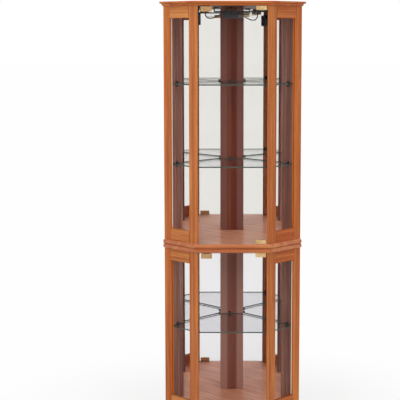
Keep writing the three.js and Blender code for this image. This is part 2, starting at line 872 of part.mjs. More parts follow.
function switchBody() {
  const half = [switchWidth / 2, switchHeight / 2];
  const corners = [
    [-half[0], -half[1], switchRound],
    [half[0], -half[1], switchRound],
    [half[0], half[1], switchRound],
    [-half[0], half[1], switchRound],
  ];
  const body = new THREE.ExtrudeGeometry(outline(corners), {
    depth: switchThick - switchEdge * 2,
    bevelThickness: switchEdge,
    bevelSize: switchEdge,
    bevelOffset: -switchEdge,
    bevelSegments: 2,
    curveSegments: roundSteps,
  }).translate(0, 0, switchEdge);
  const wellHalf = [rockerWidth / 2 + rockerSlack, Math.hypot(rockerHalf, rockerProud) + rockerSlack];
  const wellDeep = rockerDeep + rockerHeel * Math.sin(rockerTilt) + rockerSlack;
  const well = box(
    [-wellHalf[0], -wellHalf[1], switchThick - wellDeep],
    [wellHalf[0], wellHalf[1], switchThick + cutRun],
  );
  return onSwitch(cutBy(body, well));
}

function switchRocker() {
  const points = [
    [-rockerProud, -rockerHalf],
    [-rockerDish, 0],
    [-rockerProud, rockerHalf],
    [rockerSkirt, rockerHalf],
    [rockerDeep, rockerHeel],
    [rockerDeep, -rockerHeel],
    [rockerSkirt, -rockerHalf],
  ];
  const settings = { depth: rockerWidth, bevelEnabled: false };
  const rocker = new THREE.ExtrudeGeometry(outline(points), settings).translate(0, 0, -rockerWidth / 2);
  return onSwitch(rocker.rotateY(Math.PI / 2).rotateX(-rockerTilt).translate(0, 0, switchThick));
}

add("lamp_switch", mirrored(switchBody()), finishes.plastic);
add("switch_rocker", mirrored(switchRocker()), finishes.ivory);

// Lead between the switch and the lamp holder
function leadTube() {
  const offSwitch = leadOffSwitch.map(([run, off, rise]) => {
    const [x, y] = sidePoint(switchRun + run, frameThick + off);
    return new THREE.Vector3(-x, y, switchZ + switchHeight / 2 + rise);
  });
  const holderFront = new THREE.Vector3(lampX, lampY - holderDepth / 2, lampZ);
  const toHolder = leadToHolder.map((offset) => new THREE.Vector3(...offset).add(holderFront));
  const path = new THREE.CatmullRomCurve3([...offSwitch, ...toHolder], false, "centripetal");
  const ring = Array.from({ length: leadSides }, (unused, i) => {
    const angle = (i / leadSides) * 2 * Math.PI;
    return new THREE.Vector2(leadRadius * Math.cos(angle), leadRadius * Math.sin(angle));
  });
  return new THREE.ExtrudeGeometry(new THREE.Shape(ring), { steps: leadSteps, extrudePath: path });
}

add("lamp_lead", leadTube(), finishes.plastic);

export default cabinet;
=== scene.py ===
"""Corner curio cabinet: finishes, small pieces, studio and camera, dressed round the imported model."""

import math

import bmesh
import bpy
from mathutils import Matrix, Vector


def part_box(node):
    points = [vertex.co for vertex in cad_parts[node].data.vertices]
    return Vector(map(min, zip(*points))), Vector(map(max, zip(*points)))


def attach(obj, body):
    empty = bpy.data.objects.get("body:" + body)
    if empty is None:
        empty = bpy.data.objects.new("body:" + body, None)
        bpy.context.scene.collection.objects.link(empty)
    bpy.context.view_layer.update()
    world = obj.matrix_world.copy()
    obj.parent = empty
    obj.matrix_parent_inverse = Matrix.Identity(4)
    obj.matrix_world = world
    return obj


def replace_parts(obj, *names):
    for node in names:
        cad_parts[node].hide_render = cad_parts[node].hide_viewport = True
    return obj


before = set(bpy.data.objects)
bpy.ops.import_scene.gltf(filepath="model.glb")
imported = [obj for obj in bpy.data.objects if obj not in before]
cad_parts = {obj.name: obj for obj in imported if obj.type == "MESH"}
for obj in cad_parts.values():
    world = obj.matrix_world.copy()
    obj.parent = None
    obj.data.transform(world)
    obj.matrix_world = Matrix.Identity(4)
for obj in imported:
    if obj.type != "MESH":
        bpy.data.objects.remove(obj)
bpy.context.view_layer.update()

MM = 0.001
SQUARE = math.sqrt(0.5)

# Studio camera: the photograph's viewpoint, in metres and degrees
CAMERA_PLACE = Vector((-0.0421, -5.0087, 1.6577))
CAMERA_PITCH = 6.973
CAMERA_LENS = 107.37
CAMERA_SHIFT = (-0.0561, -0.05)

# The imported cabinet: its boards, half the front's width, an angled side's run each way, and the front's place
BOARD = 18 * MM
FRONT_HALF = 150 * MM
SIDE_RUN = 136.5 * MM
CROWN_OVERHANG = 21 * MM
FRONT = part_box("crown_board")[0].y + CROWN_OVERHANG

# Levels between the two sections, and between the crown's lower and upper faces
WAIST_LEVEL = 0.79
CROWN_LEVEL = 1.78


def linear(red, green, blue):
    """A colour given as the eye reads it on a screen, 0 to 255, as the shader's own value."""
    shares = [value / 255 for value in (red, green, blue)]
    return tuple(((share + 0.055) / 1.055) ** 2.4 if share > 0.04 else share / 12.92 for share in shares)


class Flow:
    """A number that changes over a surface. Arithmetic on it adds the Math nodes."""

    def __init__(self, finish, socket):
        self.finish = finish
        self.socket = socket

    def _math(self, operation, *values):
        return self.finish.node("ShaderNodeMath", {"operation": operation}, list(values))

    def __add__(self, other):
        return self._math("ADD", self, other)

    __radd__ = __add__

    def __sub__(self, other):
        return self._math("SUBTRACT", self, other)

    def __mul__(self, other):
        return self._math("MULTIPLY", self, other)

    __rmul__ = __mul__

    def __pow__(self, other):
        return self._math("POWER", self, other)

    def over(self, edge):
        return self._math("GREATER_THAN", self, edge)

    def under(self, edge):
        return self._math("LESS_THAN", self, edge)

    def absolute(self):
        return self._math("ABSOLUTE", self)

    def most(self, other):
        return self._math("MAXIMUM", self, other)

    def held(self, low, high):
        """The share, 0 to 1, of the way from low to high."""
        values = {"Value": self, "From Min": low, "From Max": high}
        return self.finish.node("ShaderNodeMapRange", {"interpolation_type": "SMOOTHSTEP"}, values)


class Finish:
    """The shader of one material or of the world, and the few ways that its nodes are made."""

    def __init__(self, name, owner=None):
        self.owner = owner or bpy.data.materials.new(name)
        self.owner.use_nodes = True
        self.tree = self.owner.node_tree
        self.tree.nodes.clear()

    def node(self, kind, settings=None, values=None, output=0):
        made = self.tree.nodes.new(kind)
        for name, value in (settings or {}).items():
            if name == "stops":
                self._stops(made.color_ramp, value)
            else:
                setattr(made, name, value)
        pairs = enumerate(values) if isinstance(values, list) else (values or {}).items()
        for name, value in pairs:
            self._feed(made.inputs[name], value)
        return Flow(self, made.outputs[output]) if made.outputs else None

    def _feed(self, entry, value):
        if isinstance(value, Flow):
            self.tree.links.new(value.socket, entry)
        else:
            entry.default_value = value

    @staticmethod
    def _stops(ramp, stops):
        while len(ramp.elements) < len(stops):
            ramp.elements.new(1)
        for element, (place, colour) in zip(ramp.elements, stops):
            element.position = place
            element.color = (*colour, 1)

    def spot(self, turns=((0, 0, 0),), stretch=(1, 1, 1)):
        """The place on the object, turned by each triple of degrees in order and then stretched."""
        at = self.node("ShaderNodeTexCoord", output="Object")
        for turn in turns:
            rotation = tuple(math.radians(angle) for angle in turn)
            at = self.node("ShaderNodeMapping", None, {"Vector": at, "Rotation": rotation})
        return self.node("ShaderNodeMapping", None, {"Vector": at, "Scale": stretch})

    def noise(self, at, scale, detail=2.0, roughness=0.5, warp=0.0):
        values = {"Vector": at, "Scale": scale, "Detail": detail}
        values.update({"Roughness": roughness, "Distortion": warp})
        return self.node("ShaderNodeTexNoise", None, values)

    def ramp(self, share, *stops):
        return self.node("ShaderNodeValToRGB", {"stops": stops}, [share])

    def blend(self, share, first, second):
        """Colours mixed by a share."""
        made = self.tree.nodes.new("ShaderNodeMix")
        made.data_type = "RGBA"
        for place, value in ((0, share), (6, first), (7, second)):
            self._feed(made.inputs[place], (*value, 1) if isinstance(value, tuple) else value)
        return Flow(self, made.outputs[2])

    def facing(self, axis):
        """How far the surface faces along the piece's own axis, -1 to 1, also when the piece has turned."""
        normal = self.node("ShaderNodeTexCoord", output="Normal")
        return self.node("ShaderNodeSeparateXYZ", None, [normal], output=axis)

    def level(self, side=1):
        """1 on faces that look straight up, or down where the side is -1, and 0 on the others."""
        return (side * self.facing("Z")).held(0.9, 0.99)

    def coordinate(self, axis):
        """The place on the object along one axis, in metres."""
        at = self.node("ShaderNodeTexCoord", output="Object")
        return self.node("ShaderNodeSeparateXYZ", None, [at], output=axis)

    def leaning(self, offset):
        """The surface's normal, tipped by a small offset."""
        normal = self.node("ShaderNodeNewGeometry", output="Normal")
        tipped = self.node("ShaderNodeVectorMath", {"operation": "ADD"}, [normal, tuple(offset)])
        return self.node("ShaderNodeVectorMath", {"operation": "NORMALIZE"}, [tipped])

    def bump(self, height, strength, distance):
        values = {"Height": height, "Strength": strength, "Distance": distance}
        return self.node("ShaderNodeBump", None, values, output="Normal")

    def skin(self, colour, roughness, **sockets):
        """A surface shader: sockets are named with underscores for spaces."""
        base = colour if isinstance(colour, Flow) else (*colour, 1)
        values = {"Base Color": base, "Roughness": roughness}
        values.update({name.replace("_", " "): value for name, value in sockets.items()})
        return self.node("ShaderNodeBsdfPrincipled", None, values)

    def clear(self, tint):
        return self.node("ShaderNodeBsdfTransparent", None, {"Color": (*tint, 1)})

    def gloss(self, tint, roughness):
        return self.node("ShaderNodeBsdfGlossy", None, {"Color": (*tint, 1), "Roughness": roughness})

    def either(self, share, first, second):
        """Two shaders mixed by a share."""
        return self.node("ShaderNodeMixShader", None, [share, first, second])

    def to_the_eye(self):
        """1 on rays that the camera follows directly, off a gloss or through glass, and 0 on the others."""
        direct = self.node("ShaderNodeLightPath", output="Is Camera Ray")
        mirrored = self.node("ShaderNodeLightPath", output="Is Glossy Ray")
        passed = self.node("ShaderNodeLightPath", output="Is Transmission Ray")
        return direct.most(mirrored.most(passed))

    def done(self, shader):
        self.node("ShaderNodeOutputMaterial", None, {"Surface": shader})
        return self.owner


# Wood: turns that lay the pattern's own Z along the grain
UPRIGHT_GRAIN = ((0, 0, 0),)
CROSS_GRAIN = ((0, 90, 0),)
RIGHT_RAIL_GRAIN = ((0, 0, -45), (0, 90, 0))
LEFT_RAIL_GRAIN = ((0, 0, 45), (0, 90, 0))
DECK_GRAIN = LEFT_RAIL_GRAIN

# Wood: dark, middle and light tones
OAK = (linear(156, 72, 20), linear(185, 99, 42), linear(207, 129, 63))
STILE_OAK = (linear(150, 73, 25), linear(179, 98, 47), linear(201, 128, 68))
# The left rails' tones are painted lighter and the right rails' painted darker: lit and shaded copies of one
# oak.
LEFT_RAIL_OAK_PAINTED_LIGHTER = (linear(158, 80, 32), linear(188, 111, 56), linear(210, 141, 77))
RIGHT_RAIL_OAK_PAINTED_DARKER = (linear(148, 62, 18), linear(176, 88, 38), linear(198, 117, 58))
INNER = (linear(110, 66, 55), linear(158, 104, 88), linear(200, 149, 131))
CORNER = (linear(82, 20, 4), linear(109, 35, 8), linear(134, 53, 20))

# Wood: weights of the clear lacquer, and the duller surface of the dark veneer
THIN_COAT = 0.05
DECK_COAT = 0.2
WAIST_COAT = 0.8
SATIN = {"roughness": 0.46, "relief": 0.05}


def veneer(name, grain, dark, middle, light, roughness=0.4, relief=0.16, dressing=None, lacquer=THIN_COAT):
    """Lacquered veneer: broad bands, fine streaks and short open pores, all drawn out along the grain.
    A dressing changes the colour over parts of the piece."""
    finish = Finish(name)
    bands = finish.noise(finish.spot(grain, (1, 1, 0.016)), 55, 3, 0.55, 0.6)
    streaks = finish.noise(finish.spot(grain, (1, 1, 0.02)), 320, 3, 0.62)
    cloud = finish.noise(finish.spot(grain, (1, 1, 0.35)), 5, 2, 0.5)
    pores = finish.noise(finish.spot(grain, (1, 1, 0.045)), 950, 2, 0.6).held(0.56, 0.72)
    share = 0.42 * bands + 0.36 * streaks + 0.22 * cloud
    colour = finish.ramp(share, (0.38, dark), (0.5, middle), (0.62, light))
    colour = finish.blend(0.5 * pores, colour, tuple(0.42 * c for c in dark))
    if dressing:
        colour = dressing(finish, colour)
    rough = roughness + 0.12 * streaks + 0.1 * pores
    normal = finish.bump(streaks * 0.4 - pores, relief, 0.4 * MM)
    coat = lacquer + (DECK_COAT - lacquer) * finish.level()
    sheen = {"Specular_IOR_Level": 0.2, "Coat_Weight": coat, "Coat_Roughness": 0.16}
    return finish.done(finish.skin(colour, rough, Normal=normal, **sheen))


# Along the face of an angled side: a rail's middle, its joints from there, and where the windows have ended
RAIL_MIDDLE = 98.5 * MM
JOINT_EDGES = (56 * MM, 57 * MM)
WINDOWS_END = 157.5 * MM
# Behind that face: where the painted highlight line runs on a jamb
PAINTED_GLINT_DEPTHS = (10.5 * MM, 15.5 * MM)
# Across the corner board: where its painted side bands begin and are full, and the warm stripe's middle, edge
# and core
PAINTED_SIDE_BANDS = (15 * MM, 27 * MM)
STRIPE_MIDDLE = -11 * MM
STRIPE_HALVES = (9 * MM, 3 * MM)
# Across the lamp holder: where the sleeve at the bulb's end starts
HOLDER_SLEEVE_START = 22 * MM


def along_side(finish):
    """How far along the face of an angled side, from the front, in metres."""
    return (finish.coordinate("X").absolute() + finish.coordinate("Y") - (FRONT_HALF + FRONT)) * SQUARE


def behind_side(finish):
    """How deep behind the face of an angled side, in metres."""
    return (finish.coordinate("Y") - finish.coordinate("X").absolute() + (FRONT_HALF - FRONT)) * SQUARE


def painted_deck_glare_and_ceiling_shade(finish, colour):
    """Board surfaces inside the cabinet: decks painted paler and pinker over their grain as a painted glare,
    the ceiling painted deeper as a painted shade.
    """
    up = finish.level() * finish.coordinate("Z").under(CROWN_LEVEL)
    grain = finish.noise(finish.spot(DECK_GRAIN, (1, 1, 0.02)), 210, 3, 0.6)
    # The deck's grain drawn between two pale tones that are painted glare.
    deck = finish.ramp(grain, (0.4, linear(202, 126, 94)), (0.6, linear(248, 180, 146)))
    colour = finish.blend(0.92 * up, colour, deck)
    # Faces that look down take a painted shade, deeper than the oak.
    return finish.blend(0.95 * finish.level(-1), colour, linear(106, 64, 50))


def painted_jamb_light(finish, colour):
    """The outer stile's jamb beside its pane is painted as bright as the lit face, a painted light. A painted
    highlight line runs down it at the upper left and the lower right."""
    inward = finish.facing("Y").under(-0.6) * finish.facing("X").absolute().over(0.6)
    jamb = inward * along_side(finish).under(WINDOWS_END)
    depth = behind_side(finish)
    lined = (finish.coordinate("X") * (finish.coordinate("Z") - WAIST_LEVEL)).under(0)
    # Where the painted highlight line runs on the jamb.
    line = jamb * lined * depth.over(PAINTED_GLINT_DEPTHS[0]) * depth.under(PAINTED_GLINT_DEPTHS[1])
    # Painted light: the jamb coloured as bright as the lit face, then the pale painted highlight line.
    colour = finish.blend(0.9 * jamb, colour, linear(225, 124, 56))
    return finish.blend(line, colour, linear(252, 244, 232))


def rail_joints(finish, colour):
    """Dark hairlines where a rail meets its stiles."""
    joint = (along_side(finish) - RAIL_MIDDLE).absolute().held(*JOINT_EDGES)
    return finish.blend(0.75 * joint, colour, linear(92, 50, 24))


def board_bands_with_painted_sides(finish, colour):
    """The corner board: a deep middle, a warm stripe left of it, and redder sides that are a painted reflection
    of angled side faces, paler below the waist.
    """
    across = finish.coordinate("X")
    sides = across.absolute().held(*PAINTED_SIDE_BANDS)
    stripe = (across - STRIPE_MIDDLE).absolute().held(*STRIPE_HALVES)
    low = finish.coordinate("Z").under(WAIST_LEVEL)
    colour = finish.blend(0.5 * stripe, colour, linear(134, 74, 42))
    # Painted reflection: the sides lighter and redder, as angled side faces would look.
    colour = finish.blend(0.62 * sides, colour, linear(142, 94, 83))
    # Paler below the waist, most of all on the painted sides.
    return finish.blend(low * (0.15 + 0.45 * sides), colour, linear(193, 144, 129))


def right_shade(finish, colour):
    """The back stiles on the right stand in more shadow."""
    return finish.blend(0.4 * finish.coordinate("X").over(0), colour, linear(84, 36, 24))


def holder_tones(finish, tone):
    """The lamp holder: a greyer lower half, and a grey sleeve at the bulb's end."""
    low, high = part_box("lamp_holder")
    lower = finish.coordinate("Z").under((low.z + high.z) / 2)
    sleeve = finish.coordinate("X").over(HOLDER_SLEEVE_START)
    tone = finish.blend(0.8 * lower, tone, linear(66, 60, 68))
    return finish.blend(0.85 * sleeve, tone, linear(104, 100, 104))


def pane_glass(name, tint, edge_axis=None, edge_colour=None, gloss=0.02):
    """Clear glass: see-through faces that shine more at a slant, and on a pane dark ground edges, which are
    the faces that don't look along the edge axis."""
    finish = Finish(name)
    slant = finish.node("ShaderNodeLayerWeight", None, {"Blend": 0.5}, output="Facing")
    shine = 0.004 + 0.55 * slant**5
    sheet = finish.either(shine, finish.clear(tint), finish.gloss((1, 1, 1), gloss))
    if edge_axis is None:
        return finish.done(sheet)
    edge = finish.skin(edge_colour, 0.25, Specular_IOR_Level=0.6)
    broad = finish.facing(edge_axis).absolute().over(0.55)
    return finish.done(finish.either(broad, edge, sheet))


# Mirrors: the silver's colour in each section, and how far each side's pane is out of true, in radians
UPPER_SILVER = (0.925, 0.905, 0.89)
LOWER_SILVER = (0.945, 0.925, 0.935)
MIRROR_TURN = {-1: 0.008, 1: 0.005}


def mirror_glass(name, tint, side):
    """Silvered glass whose pane stands a little out of true, turned about the upright."""
    finish = Finish(name)
    haze = finish.noise(finish.spot(), 9, 2, 0.5)
    colour = finish.ramp(haze, (0.3, tuple(0.985 * c for c in tint)), (0.7, tint))
    normal = finish.leaning(Vector((-side, 1, 0)) * SQUARE * MIRROR_TURN[side])
    return finish.done(finish.skin(colour, 0.012 + 0.008 * haze, Metallic=1.0, Normal=normal))


def plated_brass(name, dark, light):
    finish = Finish(name)
    brushed = finish.noise(finish.spot(UPRIGHT_GRAIN, (0.05, 1, 1)), 900, 2, 0.6)
    spots = finish.noise(finish.spot(), 60, 2, 0.5)
    colour = finish.ramp(spots, (0.3, dark), (0.7, light))
    normal = finish.bump(brushed, 0.08, 0.1 * MM)
    return finish.done(finish.skin(colour, 0.24 + 0.12 * brushed, Metallic=1.0, Normal=normal))


def moulded(name, colour, roughness, grain_scale=1400, depth=0.08 * MM, dressing=None):
    """Moulded plastic or enamel with a fine pebbled skin."""
    finish = Finish(name)
    pebble = finish.noise(finish.spot(), grain_scale, 2, 0.5)
    wear = finish.noise(finish.spot(), 40, 3, 0.6)
    worn = tuple(min(1.0, c * 1.5 + 0.006) for c in colour)
    tone = finish.ramp(wear, (0.42, colour), (0.72, worn))
    if dressing:
        tone = dressing(finish, tone)
    normal = finish.bump(pebble, 0.25, depth)
    return finish.done(finish.skin(tone, roughness + 0.1 * wear, Normal=normal))


def pressed_board():
    finish = Finish("pressed fibre board")
    fibres = finish.noise(finish.spot(), 420, 4, 0.7)
    blotches = finish.noise(finish.spot(), 7, 3, 0.5)
    share = 0.6 * fibres + 0.4 * blotches
    colour = finish.ramp(share, (0.35, linear(112, 82, 56)), (0.65, linear(146, 112, 78)))
    normal = finish.bump(fibres, 0.4, 0.3 * MM)
    return finish.done(finish.skin(colour, 0.72 + 0.15 * fibres, Normal=normal))


def filament_metal():
    finish = Finish("filament wire")
    tone = finish.ramp(finish.noise(finish.spot(), 500), (0.3, (0.2, 0.2, 0.2)), (0.7, (0.4, 0.4, 0.4)))
    return finish.done(finish.skin(tone, 0.4, Metallic=1.0))


FINISHES = {
    "upright oak": veneer("oak veneer, front stiles", UPRIGHT_GRAIN, *STILE_OAK),
    "jamb oak": veneer("oak veneer, outer stiles", UPRIGHT_GRAIN, *OAK, dressing=painted_jamb_light),
    "cross oak": veneer("oak veneer, boards", CROSS_GRAIN, *OAK, dressing=painted_deck_glare_and_ceiling_shade),
    "waist oak": veneer(
        "oak veneer, waist boards", CROSS_GRAIN, *OAK, dressing=painted_deck_glare_and_ceiling_shade, lacquer=WAIST_COAT
    ),
    "right oak": veneer("oak veneer, right rails", RIGHT_RAIL_GRAIN, *RIGHT_RAIL_OAK_PAINTED_DARKER, dressing=rail_joints),
    "left oak": veneer("oak veneer, left rails", LEFT_RAIL_GRAIN, *LEFT_RAIL_OAK_PAINTED_LIGHTER, dressing=rail_joints),
    "right plinth oak": veneer("oak veneer, right plinth", RIGHT_RAIL_GRAIN, *OAK),
    "left plinth oak": veneer("oak veneer, left plinth", LEFT_RAIL_GRAIN, *OAK),
    "inner veneer": veneer("dark veneer", UPRIGHT_GRAIN, *INNER, **SATIN, dressing=right_shade),
    "corner veneer": veneer(
        "dark veneer, corner boards", UPRIGHT_GRAIN, *CORNER, **SATIN, dressing=board_bands_with_painted_sides
    ),
    "board": pressed_board(),
    "side glass": pane_glass("side pane glass", (0.985, 0.99, 0.985)),
    "door glass": pane_glass("door glass", (0.985, 0.992, 0.988), "Y", linear(150, 168, 158)),
    "shelf glass": pane_glass("shelf glass", (0.865, 0.87, 0.885), "Z", linear(46, 62, 54)),
    "upper right mirror": mirror_glass("upper right silvering", UPPER_SILVER, 1),
    "upper left mirror": mirror_glass("upper left silvering", UPPER_SILVER, -1),
    "lower right mirror": mirror_glass("lower right silvering", LOWER_SILVER, 1),
    "lower left mirror": mirror_glass("lower left silvering", LOWER_SILVER, -1),
    "brass": plated_brass("plated brass", linear(196, 158, 104), linear(222, 190, 142)),
    "dull brass": plated_brass("dull brass", linear(168, 129, 84), linear(196, 158, 116)),
    "black plastic": moulded("black plastic", (0.006, 0.006, 0.0065), 0.42),
    "holder plastic": moulded("holder plastic", (0.006, 0.006, 0.0065), 0.42, dressing=holder_tones),
    "clip plastic": moulded("clip plastic", (0.005, 0.005, 0.005), 0.6),
    "enamel": moulded("black enamel", (0.014, 0.012, 0.012), 0.3, 700, 0.04 * MM),
    "rocker": moulded("rocker plastic", (0.02, 0.018, 0.018), 0.2, 1800, 0.03 * MM),
    "sheath": moulded("lead sheath", (0.012, 0.011, 0.011), 0.5, 1100, 0.06 * MM),
    "steel": moulded("dark steel", (0.014, 0.012, 0.012), 0.4, 900, 0.04 * MM),
    "bulb glass": pane_glass("bulb glass", (0.96, 0.96, 0.95), gloss=0.03),
    "filament": filament_metal(),
}

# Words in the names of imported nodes, and the finish of each: the first word that a name holds decides
NODE_FINISHES = {
    "pane": "side glass",
    "door_glass": "door glass",
    "shelf": "shelf glass",
    "upper_mirror_right": "upper right mirror",
    "upper_mirror_left": "upper left mirror",
    "lower_mirror_right": "lower right mirror",
    "lower_mirror_left": "lower left mirror",
    "hinge": "brass",
    "strike": "dull brass",
    "back_stile": "inner veneer",
    "corner_board": "corner veneer",
    "rail_right": "right oak",
    "rail_left": "left oak",
    "plinth_right": "right plinth oak",
    "plinth_left": "left plinth oak",
    "outer_stile": "jamb oak",
    "stile": "upright oak",
    "upper_base_board": "waist oak",
    "lower_top_board": "waist oak",
    "back_sheet": "board",
    "lamp_strap": "enamel",
    "switch_rocker": "rocker",
    "lamp_holder": "holder plastic",
    "lamp_switch": "black plastic",
    "latch": "black plastic",
    "bulb": "bulb glass",
    "lamp_lead": "sheath",
}
OTHER_BOARDS = "cross oak"

for name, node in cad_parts.items():
    chosen = next((finish for word, finish in NODE_FINISHES.items() if word in name), OTHER_BOARDS)
    node.data.materials.clear()
    node.data.materials.append(FINISHES[chosen])


def placed(name, data):
    """An object of the scene, at the origin."""
    made = bpy.data.objects.new(name, data)
    bpy.context.scene.collection.objects.link(made)
    return made


def piece(name, mesh, finish):
    """A mesh with its finish, hung on the carcass."""
    made = placed(name, mesh)
    mesh.materials.clear()
    mesh.materials.append(FINISHES[finish])
    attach(made, "carcass")
    return made


SHARP_CORNER = math.radians(35)


def smooth(mesh):
    """Rounded faces shade softly, and sharp corners stay crisp."""
    for face in mesh.polygons:
        face.use_smooth = True
    work = bmesh.new()
    work.from_mesh(mesh)
    for edge in work.edges:
        edge.smooth = edge.calc_face_angle(0) < SHARP_CORNER
    work.to_mesh(mesh)
    work.free()
    return mesh


def ring(work, along, radius, sides):
    """The points of a turned solid at one place along its axis: a single one where the radius is zero."""
    if radius == 0:
        return [work.verts.new((0, 0, along))]
    angles = [2 * math.pi * i / sides for i in range(sides)]
    return [work.verts.new((radius * math.cos(a), radius * math.sin(a), along)) for a in angles]


def turned(name, profile, start, end, finish, sides=32):
    """A round piece, turned about the line from start to end: each pair of its profile is a way along that
    line and a radius."""
    work = bmesh.new()
    rings = [ring(work, along, radius, sides) for along, radius in profile]
    for low, high in zip(rings, rings[1:]):
        for i in range(sides):
            j = (i + 1) % sides
            corners = [low[i % len(low)], low[j % len(low)], high[j % len(high)], high[i % len(high)]]
            face = list(dict.fromkeys(corners))
            if len(face) > 2:
                work.faces.new(face)
    bmesh.ops.recalc_face_normals(work, faces=work.faces)
    turn = Vector((0, 0, 1)).rotation_difference((end - start).normalized()).to_matrix().to_4x4()
    bmesh.ops.transform(work, matrix=Matrix.Translation(start) @ turn, verts=work.verts)
    mesh = bpy.data.meshes.new(name)
    work.to_mesh(mesh)
    work.free()
    return piece(name, smooth(mesh), finish)


# Shelf clips: a sleeve with a plate and a jaw on each pin of the carcass, repeated by Geometry Nodes
PIN_RADIUS = 2.5 * MM
PIN_REACH = 8 * MM
PIN_CASE = 0.25 * MM
PIN_COLLAR = 1.7 * MM
SHELF_GAP = 0.3 * MM
# Two corners of the plate behind the shelf's edge and of the jaw over it: up from the pin, across, and out
CLIP_PLATE = ((-5.5 * MM, -5.2 * MM, 0.05 * MM), (16.5 * MM, 5.2 * MM, 1.5 * MM))
CLIP_JAW = ((9.9 * MM, -5.2 * MM, 0.05 * MM), (16.5 * MM, 5.2 * MM, 8.5 * MM))
# What carries the pins: the stiles' widths, how far along them a pin stands, and the faces that it leaves
FRONT_STILE = 41 * MM
BACK_STILE = 93 * MM
PIN_PLACE_SHARE = 0.62
BACK_STILE_FACE = 15.3 * MM
CORNER_PIN_ACROSS = -10 * MM


def clip_places():
    """Where each pin leaves its carrier, and the way it points."""
    places = []
    sections = {"upper_shelf_top": "upper", "upper_shelf_bottom": "upper", "lower_shelf": "lower"}
    near = FRONT_STILE * PIN_PLACE_SHARE
    far = BACK_STILE * PIN_PLACE_SHARE
    for shelf, section in sections.items():
        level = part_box(shelf)[0].z - SHELF_GAP - PIN_RADIUS - PIN_COLLAR
        for side in (-1, 1):
            x = FRONT_HALF + (near - BOARD) * SQUARE
            y = FRONT + (near + BOARD) * SQUARE
            places.append(((side * x, y, level), (-side * SQUARE, SQUARE, 0)))
        for side in (-1, 1):
            x = FRONT_HALF + SIDE_RUN - (far + BACK_STILE_FACE) * SQUARE
            y = FRONT + SIDE_RUN + (far - BACK_STILE_FACE) * SQUARE
            places.append(((side * x, y, level), (-side * SQUARE, -SQUARE, 0)))
        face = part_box(f"{section}_corner_board")[0].y + PIN_REACH
        places.append(((CORNER_PIN_ACROSS, face, level), (0, -1, 0)))
    return places


def clip_tree():
    """The Geometry Nodes tree that puts a clip on every point, and its two named inputs."""
    tree = bpy.data.node_groups.new("clips on their places", "GeometryNodeTree")
    tree.interface.new_socket("Geometry", in_out="INPUT", socket_type="NodeSocketGeometry")
    radius = tree.interface.new_socket("Sleeve Radius", in_out="INPUT", socket_type="NodeSocketFloat")
    reach = tree.interface.new_socket("Sleeve Reach", in_out="INPUT", socket_type="NodeSocketFloat")
    tree.interface.new_socket("Geometry", in_out="OUTPUT", socket_type="NodeSocketGeometry")

    def node(kind, links=None, values=None, **settings):
        made = tree.nodes.new(kind)
        for key, value in settings.items():
            setattr(made, key, value)
        for socket, source in (links or {}).items():
            tree.links.new(source, made.inputs[socket])
        for socket, value in (values or {}).items():
            made.inputs[socket].default_value = value
        return made

    given = node("NodeGroupInput").outputs
    size = {"Radius": given["Sleeve Radius"], "Depth": given["Sleeve Reach"]}
    shaft = node("GeometryNodeMeshCylinder", size, {"Vertices": 20}).outputs["Mesh"]
    half = node("ShaderNodeMath", {0: given["Sleeve Reach"]}, {1: 0.5}, operation="MULTIPLY").outputs[0]
    lift = node("ShaderNodeCombineXYZ", {"Z": half}).outputs[0]
    raised = node("GeometryNodeTransform", {"Geometry": shaft, "Translation": lift}).outputs[0]
    ball = {"Segments": 20, "Rings": 10}
    tip = node("GeometryNodeMeshUVSphere", {"Radius": given["Sleeve Radius"]}, ball).outputs["Mesh"]
    top = node("ShaderNodeCombineXYZ", {"Z": given["Sleeve Reach"]}).outputs[0]
    flat = {"Scale": (1, 1, 0.35)}
    capped = node("GeometryNodeTransform", {"Geometry": tip, "Translation": top}, flat).outputs[0]
    clip = node("GeometryNodeJoinGeometry", {"Geometry": raised})
    tree.links.new(capped, clip.inputs["Geometry"])
    for low, high in (CLIP_PLATE, CLIP_JAW):
        low, high = Vector(low), Vector(high)
        block = node("GeometryNodeMeshCube", None, {"Size": high - low, "Vertices X": 3}).outputs["Mesh"]
        middle = {"Translation": (low + high) / 2}
        put = node("GeometryNodeTransform", {"Geometry": block}, middle).outputs[0]
        tree.links.new(put, clip.inputs["Geometry"])
    turn = node("GeometryNodeInputNamedAttribute", None, {"Name": "turn"}, data_type="FLOAT_VECTOR")
    aim = node("FunctionNodeEulerToRotation", {"Euler": turn.outputs["Attribute"]}).outputs[0]
    spread = {"Points": given["Geometry"], "Instance": clip.outputs[0], "Rotation": aim}
    copies = node("GeometryNodeInstanceOnPoints", spread).outputs[0]
    real = node("GeometryNodeRealizeInstances", {"Geometry": copies}).outputs[0]
    dressed = node("GeometryNodeSetMaterial", {"Geometry": real}, {"Material": FINISHES["clip plastic"]})
    node("NodeGroupOutput", {"Geometry": dressed.outputs[0]})
    return tree, radius.identifier, reach.identifier


def shelf_clips():
    places = clip_places()
    seeds = bpy.data.meshes.new("clip places")
    seeds.from_pydata([place for place, out in places], [], [])
    turn = seeds.attributes.new("turn", "FLOAT_VECTOR", "POINT")
    up = Vector((0, 0, 1))
    for i, (place, out) in enumerate(places):
        across = Vector(out).cross(up)
        turn.data[i].vector = Matrix((up, across, Vector(out))).transposed().to_euler()
    holder = placed("clip_places", seeds)
    tree, radius, reach = clip_tree()
    grown = holder.modifiers.new("clips", "NODES")
    grown.node_group = tree
    grown[radius] = PIN_RADIUS + PIN_CASE + PIN_COLLAR
    grown[reach] = PIN_REACH + PIN_CASE
    seen = holder.evaluated_get(bpy.context.evaluated_depsgraph_get())
    mesh = bpy.data.meshes.new_from_object(seen)
    bpy.data.objects.remove(holder)
    piece("shelf_clips", smooth(mesh), "clip plastic")


shelf_clips()


